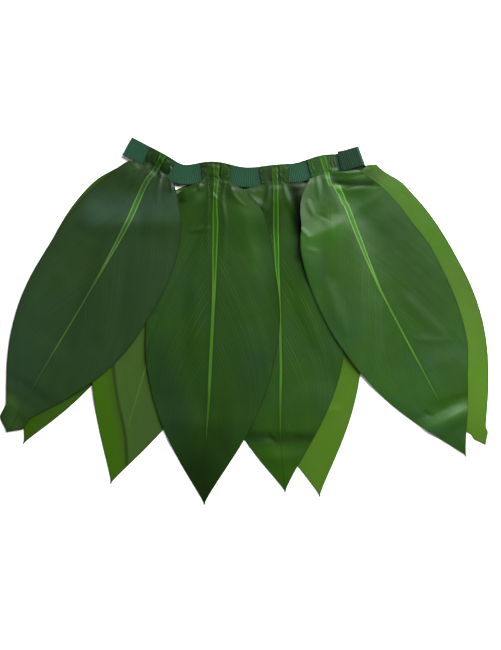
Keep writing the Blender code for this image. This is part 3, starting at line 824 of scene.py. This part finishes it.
def elasticMaterial(finish):
    material, tree, shader, place = startMaterial(finish["name"])
    along, over, shown, tone = (
        addNode(tree, "ShaderNodeAttribute", attribute_name=key).outputs["Fac"]
        for key in ("tapeAlong", "tapeOver", "ribShow", "tapeTone"))
    ribLow = addNode(tree, "ShaderNodeMapRange", {
        "Value": shown, "To Min": finish["ribFaintTone"], "To Max": finish["ribTone"]})
    rib = addNode(tree, "ShaderNodeMath", {0: along, 1: waistTape["ribPitch"]}, operation="DIVIDE")
    ribNear = addNode(tree, "ShaderNodeMath", {0: rib, 1: 0.5}, operation="PINGPONG")
    ribTone = addNode(tree, "ShaderNodeMapRange", {
        "Value": ribNear, "From Max": 0.35, "To Min": ribLow}, interpolation_type="SMOOTHSTEP")
    nearEdge = addNode(tree, "ShaderNodeMath", {0: over, 1: 0.5 * waistTape["width"]}, operation="PINGPONG")
    # painted shade along the tape's two edges
    selvedge = addNode(tree, "ShaderNodeMapRange", {
        "Value": nearEdge, "From Min": 0.2, "From Max": finish["selvedge"],
        "To Min": finish["edgeShadeTone"]}, interpolation_type="SMOOTHSTEP")
    # wales along the tape, 1 mm apart
    wale = addNode(tree, "ShaderNodeMath", {0: over, 1: 0.5}, operation="PINGPONG")
    waleTone = addNode(tree, "ShaderNodeMapRange", {
        "Value": wale, "From Max": 0.5, "To Min": finish["waleTone"]})
    lit = addNode(tree, "ShaderNodeMath", {0: ribTone, 1: waleTone}, operation="MULTIPLY")
    fluff = addNode(tree, "ShaderNodeTexNoise", {
        "Vector": place, "Scale": finish["fluffScale"], "Detail": 2.0})
    stain = addNode(tree, "ShaderNodeTexNoise", {
        "Vector": place, "Scale": finish["stainScale"], "Detail": 2.0})
    dark = addNode(tree, "ShaderNodeMix", {
        0: lit, 6: hexColour(finish["rubberShadow"]), 7: hexColour(finish["teal"])}, data_type="RGBA")
    light = addNode(tree, "ShaderNodeMapRange", {
        "Value": stain, "From Min": 0.35, "From Max": 0.7, "To Max": finish["stain"]})
    mixed = addNode(tree, "ShaderNodeMix", {
        0: light, 6: dark.outputs[2], 7: hexColour(finish["tealLight"])}, data_type="RGBA")
    bright = addNode(tree, "ShaderNodeMath", {0: selvedge, 1: tone}, operation="MULTIPLY")
    edged = addNode(tree, "ShaderNodeHueSaturation", {"Color": mixed.outputs[2], "Value": bright})
    bump = addNode(tree, "ShaderNodeBump", {
        "Height": fluff, "Strength": finish["fluffBump"], "Distance": finish["threadRise"] * mm})
    waleBump = addNode(tree, "ShaderNodeBump", {
        "Height": waleTone, "Strength": finish["waleBump"], "Distance": finish["threadRise"] * mm,
        "Normal": bump})
    fillInputs(tree, shader, {
        "Base Color": edged, "Normal": waleBump, "Roughness": finish["roughness"], "IOR": 1.48,
        "Specular IOR Level": finish["gloss"]})
    return material


wovenElastic = elasticMaterial(elasticFinish)


def tapePath():
    # the tape's middle surface as (along the waist, height, slant) rows, from the lap's free end
    tape, length = waistTape, tapeLine["length"]
    lows = (tape["ground"], tapeFront, lapBottom)
    back, front, lap = (low + 0.5 * solids["tape"] for low in lows)
    turns = np.linspace(0.5 * math.pi, -0.5 * math.pi, tape["foldSteps"])[1:-1]
    rows = []
    for along in np.arange(length - tape["lapLength"], length, tape["step"]):
        free = (length - along) / tape["lapLength"]
        rows.append((along, lap, tape["lapSlant"] * free))
    radius = 0.5 * (lap - back)
    for i, turn in enumerate(turns):
        slant = tape["foldSlant"] * (i + 1) / len(turns)
        rows.append((length + radius * math.cos(turn), back + radius * (1 + math.sin(turn)), slant))
    # the fold's lower layer shows as a dark curl under the lap
    for along in np.arange(length, 0.0, -tape["step"]):
        rows.append((along, back, tape["foldSlant"] * (1 - ease((length - along) / tape["foldRoom"]))))
    radius = 0.5 * (front - back)
    for turn in turns[::-1]:
        rows.append((-radius * math.cos(turn), back + radius * (1 + math.sin(turn)), 0.0))
    rows += [(along, front, 0.0) for along in np.arange(0.0, length - tape["lapEndRoom"], tape["step"])]
    return np.array(rows)


def startTree(name, inputs):
    # an empty geometry tree with its named inputs, and the identifiers that set them on a modifier
    tree = bpy.data.node_groups.new(name, "GeometryNodeTree")
    sockets = {}
    for label, kind in inputs.items():
        socket = tree.interface.new_socket(label, in_out="INPUT", socket_type="NodeSocket" + kind)
        sockets[label] = socket.identifier
    tree.interface.new_socket("Geometry", in_out="OUTPUT", socket_type="NodeSocketGeometry")
    return tree, sockets, addNode(tree, "NodeGroupInput").outputs


def endTree(tree, made, material):
    real = addNode(tree, "GeometryNodeRealizeInstances", {"Geometry": made})
    dressed = addNode(tree, "GeometryNodeSetMaterial", {"Geometry": real, "Material": material})
    addNode(tree, "NodeGroupOutput", {"Geometry": dressed})


def runTree(piece, tree, sockets, values):
    # the tree's result takes the place of the mesh and of the modifier that made it
    modifier = piece.modifiers.new(tree.name, "NODES")
    modifier.node_group = tree
    for name, value in values.items():
        modifier[sockets[name]] = value
    evaluated = piece.evaluated_get(bpy.context.evaluated_depsgraph_get())
    mesh = bpy.data.meshes.new_from_object(evaluated)
    piece.modifiers.clear()
    piece.data = mesh
    mesh.name = piece.name


# Ribs on the tape, by Geometry Nodes: each rib lifts the shell along its own normals
def ribTree():
    tree, sockets, given = startTree("tapeRibs", {
        "Geometry": "Geometry", "Rib Pitch": "Float", "Rib Depth": "Float", "Elastic": "Material"})
    along = addNode(tree, "GeometryNodeInputNamedAttribute", {"Name": "tapeAlong"}, data_type="FLOAT")
    count = addNode(tree, "ShaderNodeMath", {0: along, 1: given["Rib Pitch"]}, operation="DIVIDE")
    turn = addNode(tree, "ShaderNodeMath", {0: count, 1: 2 * math.pi}, operation="MULTIPLY")
    wave = addNode(tree, "ShaderNodeMath", {0: turn}, operation="COSINE")
    over = addNode(tree, "GeometryNodeInputNamedAttribute", {"Name": "tapeEdge"}, data_type="FLOAT")
    lift = addNode(tree, "ShaderNodeMath", {0: wave, 1: over}, operation="MULTIPLY")
    lift = addNode(tree, "ShaderNodeMath", {0: lift, 1: given["Rib Depth"]}, operation="MULTIPLY")
    normal = addNode(tree, "GeometryNodeInputNormal")
    offset = addNode(tree, "ShaderNodeVectorMath", {0: normal, "Scale": lift}, operation="SCALE")
    moved = addNode(tree, "GeometryNodeSetPosition", {"Geometry": given["Geometry"], "Offset": offset})
    endTree(tree, moved.outputs[0], given["Elastic"])
    return tree, sockets


def makeTape():
    tape = waistTape
    along, height, slant = tapePath().T
    place, way = courseAt(tapeLine, along)
    upward = beside(way)
    inner = np.linspace(-0.5, 0.5, tape["columns"] + 1) * (tape["width"] - 2 * tape["selvedge"])
    over = np.concatenate([[-0.5 * tape["width"]], inner, [0.5 * tape["width"]]])
    flat = place[:, None] + (over[None, :] + slant[:, None])[..., None] * upward[:, None]
    z = np.repeat(height[:, None], len(over), axis=1)
    # how far along the cloth each row is, measured on one of the inner columns
    column = np.column_stack([flat[:, 3], z[:, 3]])
    run = np.concatenate([[0.0], np.cumsum(np.linalg.norm(np.diff(column, axis=0), axis=-1))])
    attributes = {
        "tapeAlong": run[:, None],
        "tapeOver": over[None, :] + 0.5 * tape["width"],
        "ribShow": np.where(run < tape["lapLength"], 1.0, tape["ribFaint"])[:, None],
        "tapeTone": np.where(run < tape["lapLength"], tape["lapTone"], 1.0)[:, None],
        "tapeEdge": (1 - np.abs(2 * over / tape["width"]) ** 8)[None, :],
    }
    x, y = flat[..., 0], flat[..., 1]
    piece = makeShell("elasticTape", x, y, z, tape["core"], [wovenElastic], attributes)
    runTree(piece, *ribTree(), {
        "Rib Pitch": tape["ribPitch"], "Rib Depth": 0.5 * tape["ribDepth"] * mm, "Elastic": wovenElastic})
    layOnBed(x, y, z + 0.5 * solids["tape"] + solids["gap"])
    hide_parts("waist_tape")
    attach(piece, "root")
    print("stage: elastic tape made,", round(run[-1]), "mm round")


makeTape()
for leaf in leaves:
    if leaf["front"]:
        makeLeaf(leaf)


# Sewing: polyester thread, in two rows of lock stitch through each tab and four rows across the lap
seams = {
    "rows": (-leafLie["seamTop"], -leafLie["seamLow"]), "tabShare": 0.93, "tabPoints": 16, "pitch": 3.0,
    "radius": 0.24, "stitchShare": 0.4,  # half a stitch's length as a share of the pitch
    "lapRows": (3.0, 6.5, 12.5, 16.0), "lapPitch": 1.9, "lapDrop": 9.0, "lapPoints": 12,
}
# Thread: spun polyester, its plies twisted every half millimetre, dull and a little lighter than
# the tape
threadFinish = {"name": "sewingThread", "dark": "#10271a", "light": "#1e3d29", "twist": 0.5,
                "roughness": 0.6, "gloss": 0.2}


def threadMaterial(finish):
    material, tree, shader, place = startMaterial(finish["name"])
    scale = 1 / (finish["twist"] * mm) / wavesPerScale
    ply = addNode(tree, "ShaderNodeTexWave", {
        "Vector": place, "Scale": scale}, wave_type="BANDS", bands_direction="DIAGONAL")
    plies = {0: ply.outputs["Fac"], 6: hexColour(finish["dark"]), 7: hexColour(finish["light"])}
    mixed = addNode(tree, "ShaderNodeMix", plies, data_type="RGBA")
    fillInputs(tree, shader, {
        "Base Color": mixed.outputs[2], "Roughness": finish["roughness"],
        "Specular IOR Level": finish["gloss"]})
    return material


# Stitches, by Geometry Nodes: each lies along its row and dives into the cloth at both ends
def stitchTree():
    tree, sockets, given = startTree("lockStitches", {
        "Rows": "Geometry", "Pitch": "Float", "Stitch Size": "Vector", "Thread": "Material"})
    curves = addNode(tree, "GeometryNodeMeshToCurve", {"Mesh": given["Rows"]})
    places = addNode(tree, "GeometryNodeCurveToPoints", {
        "Curve": curves, "Length": given["Pitch"]}, mode="LENGTH")
    bead = addNode(tree, "GeometryNodeMeshUVSphere", {"Segments": 6, "Rings": 5, "Radius": 1.0})
    laid = addNode(tree, "GeometryNodeInstanceOnPoints", {
        "Points": places.outputs["Points"], "Instance": bead.outputs["Mesh"],
        "Rotation": places.outputs["Rotation"], "Scale": given["Stitch Size"]})
    endTree(tree, laid.outputs[0], given["Thread"])
    return tree, sockets


def seamRows(name, rows, pitch, thread):
    vertices = np.concatenate(rows) * mm
    edges, start = [], 0
    for row in rows:
        edges += [(start + i, start + i + 1) for i in range(len(row) - 1)]
        start += len(row)
    mesh = bpy.data.meshes.new(name)
    mesh.from_pydata(vertices.tolist(), edges, [])
    piece = addObject(name, mesh)
    radius = seams["radius"] * mm
    runTree(piece, *stitchTree(), {
        "Pitch": pitch * mm, "Stitch Size": (radius, radius, seams["stitchShare"] * pitch * mm),
        "Thread": thread})
    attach(piece, "root")
    print("stage:", name, "sewn,", len(piece.data.polygons), "faces")


def sewTabs(thread):
    rows = []
    for leaf in leaves:
        line = midribCourse(leaf)
        across = np.linspace(-seams["tabShare"], seams["tabShare"], seams["tabPoints"])
        for down in seams["rows"]:
            down = np.full(across.shape, down)
            x, y, side, _ = leafPlan(leaf, line, down, across)
            z = leafHeights(leaf, down, across, x, y, side)
            outward = 0.5 if leaf["front"] else -0.5
            z = z + 0.5 * solids["cloth"] + outward * leafCut["thickness"]
            rows.append(np.stack([x, y, z], axis=-1))
    seamRows("tabSeams", rows, seams["pitch"], thread)


def sewLap(thread):
    tape, rows = waistTape, []
    drops = np.linspace(-seams["lapDrop"], seams["lapDrop"], seams["lapPoints"])
    for inward in seams["lapRows"]:
        along = tapeLine["length"] - tape["lapLength"] + inward
        slant = tape["lapSlant"] * (1 - inward / tape["lapLength"])
        place = onTape(np.full(drops.shape, along), drops - slant)
        z = lapBottom + 0.5 * solids["tape"] + 0.5 * tape["core"]
        rows.append(np.column_stack([place, np.full(drops.shape, z)]))
    seamRows("lapSeams", rows, seams["lapPitch"], thread)


sewingThread = threadMaterial(threadFinish)
sewTabs(sewingThread)
sewLap(sewingThread)


# Floor, light and camera, in metres
studio = {
    "camera": (0.0067, -0.0044, 1.688), "lens": 85.0, "sensor": 36.0,
    "floorSize": 6.0, "floorDrop": 0.0002,
    "paperScale": 3.0, "paperDark": 0.9, "paperLight": 0.92, "paperRoughness": 0.9,
    "key": {"at": (1.0, 0.80, 0.75), "size": 1.4, "watts": 78.0},
    "fill": {"at": (-1.3, 0.5, 0.6), "size": 1.0, "watts": 5.0},
    "front": {"at": (0.3, -1.4, 0.7), "size": 1.0, "watts": 5.0},
    # shows as the sheen on the upper side of each crease
    "high": {"at": (0.35, 0.75, 1.15), "size": 0.6, "watts": 22.0},
    # the air is dark overhead, where the camera hangs, so that satin doesn't mirror it
    "airLow": 0.7, "airHigh": 0.04, "airFrom": 0.15, "airTo": 0.85,
}


def makeFloor():
    # seamless paper: matt, off-white and barely uneven
    bpy.ops.mesh.primitive_grid_add(x_subdivisions=4, y_subdivisions=4, size=studio["floorSize"])
    floor = bpy.context.object
    floor.name = "studioFloor"
    floor.location.z = -studio["floorDrop"]
    material, tree, shader, place = startMaterial("palePaper")
    grain = addNode(tree, "ShaderNodeTexNoise", {"Vector": place, "Scale": studio["paperScale"]})
    tone = addNode(tree, "ShaderNodeMapRange", {
        "Value": grain, "To Min": studio["paperDark"], "To Max": studio["paperLight"]})
    fillInputs(tree, shader, {"Base Color": tone, "Roughness": studio["paperRoughness"]})
    floor.data.materials.append(material)


def makeLight(name, facts):
    lamp = bpy.data.lights.new(name, "AREA")
    lamp.shape = "SQUARE"
    lamp.size = facts["size"]
    lamp.energy = facts["watts"]
    light = addObject(name, lamp)
    light.location = facts["at"]
    light.rotation_euler = (-Vector(facts["at"])).to_track_quat("-Z", "Y").to_euler()


def makeAir():
    world = bpy.data.worlds.new("studioAir")
    bpy.context.scene.world = world
    world.use_nodes = True
    tree = world.node_tree
    way = addNode(tree, "ShaderNodeTexCoord").outputs["Generated"]
    height = addNode(tree, "ShaderNodeSeparateXYZ", {0: way})
    strength = addNode(tree, "ShaderNodeMapRange", {
        "Value": height.outputs["Z"], "From Min": studio["airFrom"], "From Max": studio["airTo"],
        "To Min": studio["airLow"], "To Max": studio["airHigh"]}, interpolation_type="SMOOTHSTEP")
    fillInputs(tree, tree.nodes["Background"], {"Color": (1.0, 1.0, 1.0, 1.0), "Strength": strength})


makeFloor()
for name in ("key", "fill", "front", "high"):
    makeLight(name + "Softbox", studio[name])
makeAir()

lens = bpy.data.cameras.new("photoCamera")
lens.lens = studio["lens"]
lens.sensor_width = studio["sensor"]
camera = addObject("photoCamera", lens)
camera.location = studio["camera"]
bpy.context.scene.camera = camera
bpy.context.scene.view_settings.view_transform = "Standard"
print("stage: floor, lights and camera placed")
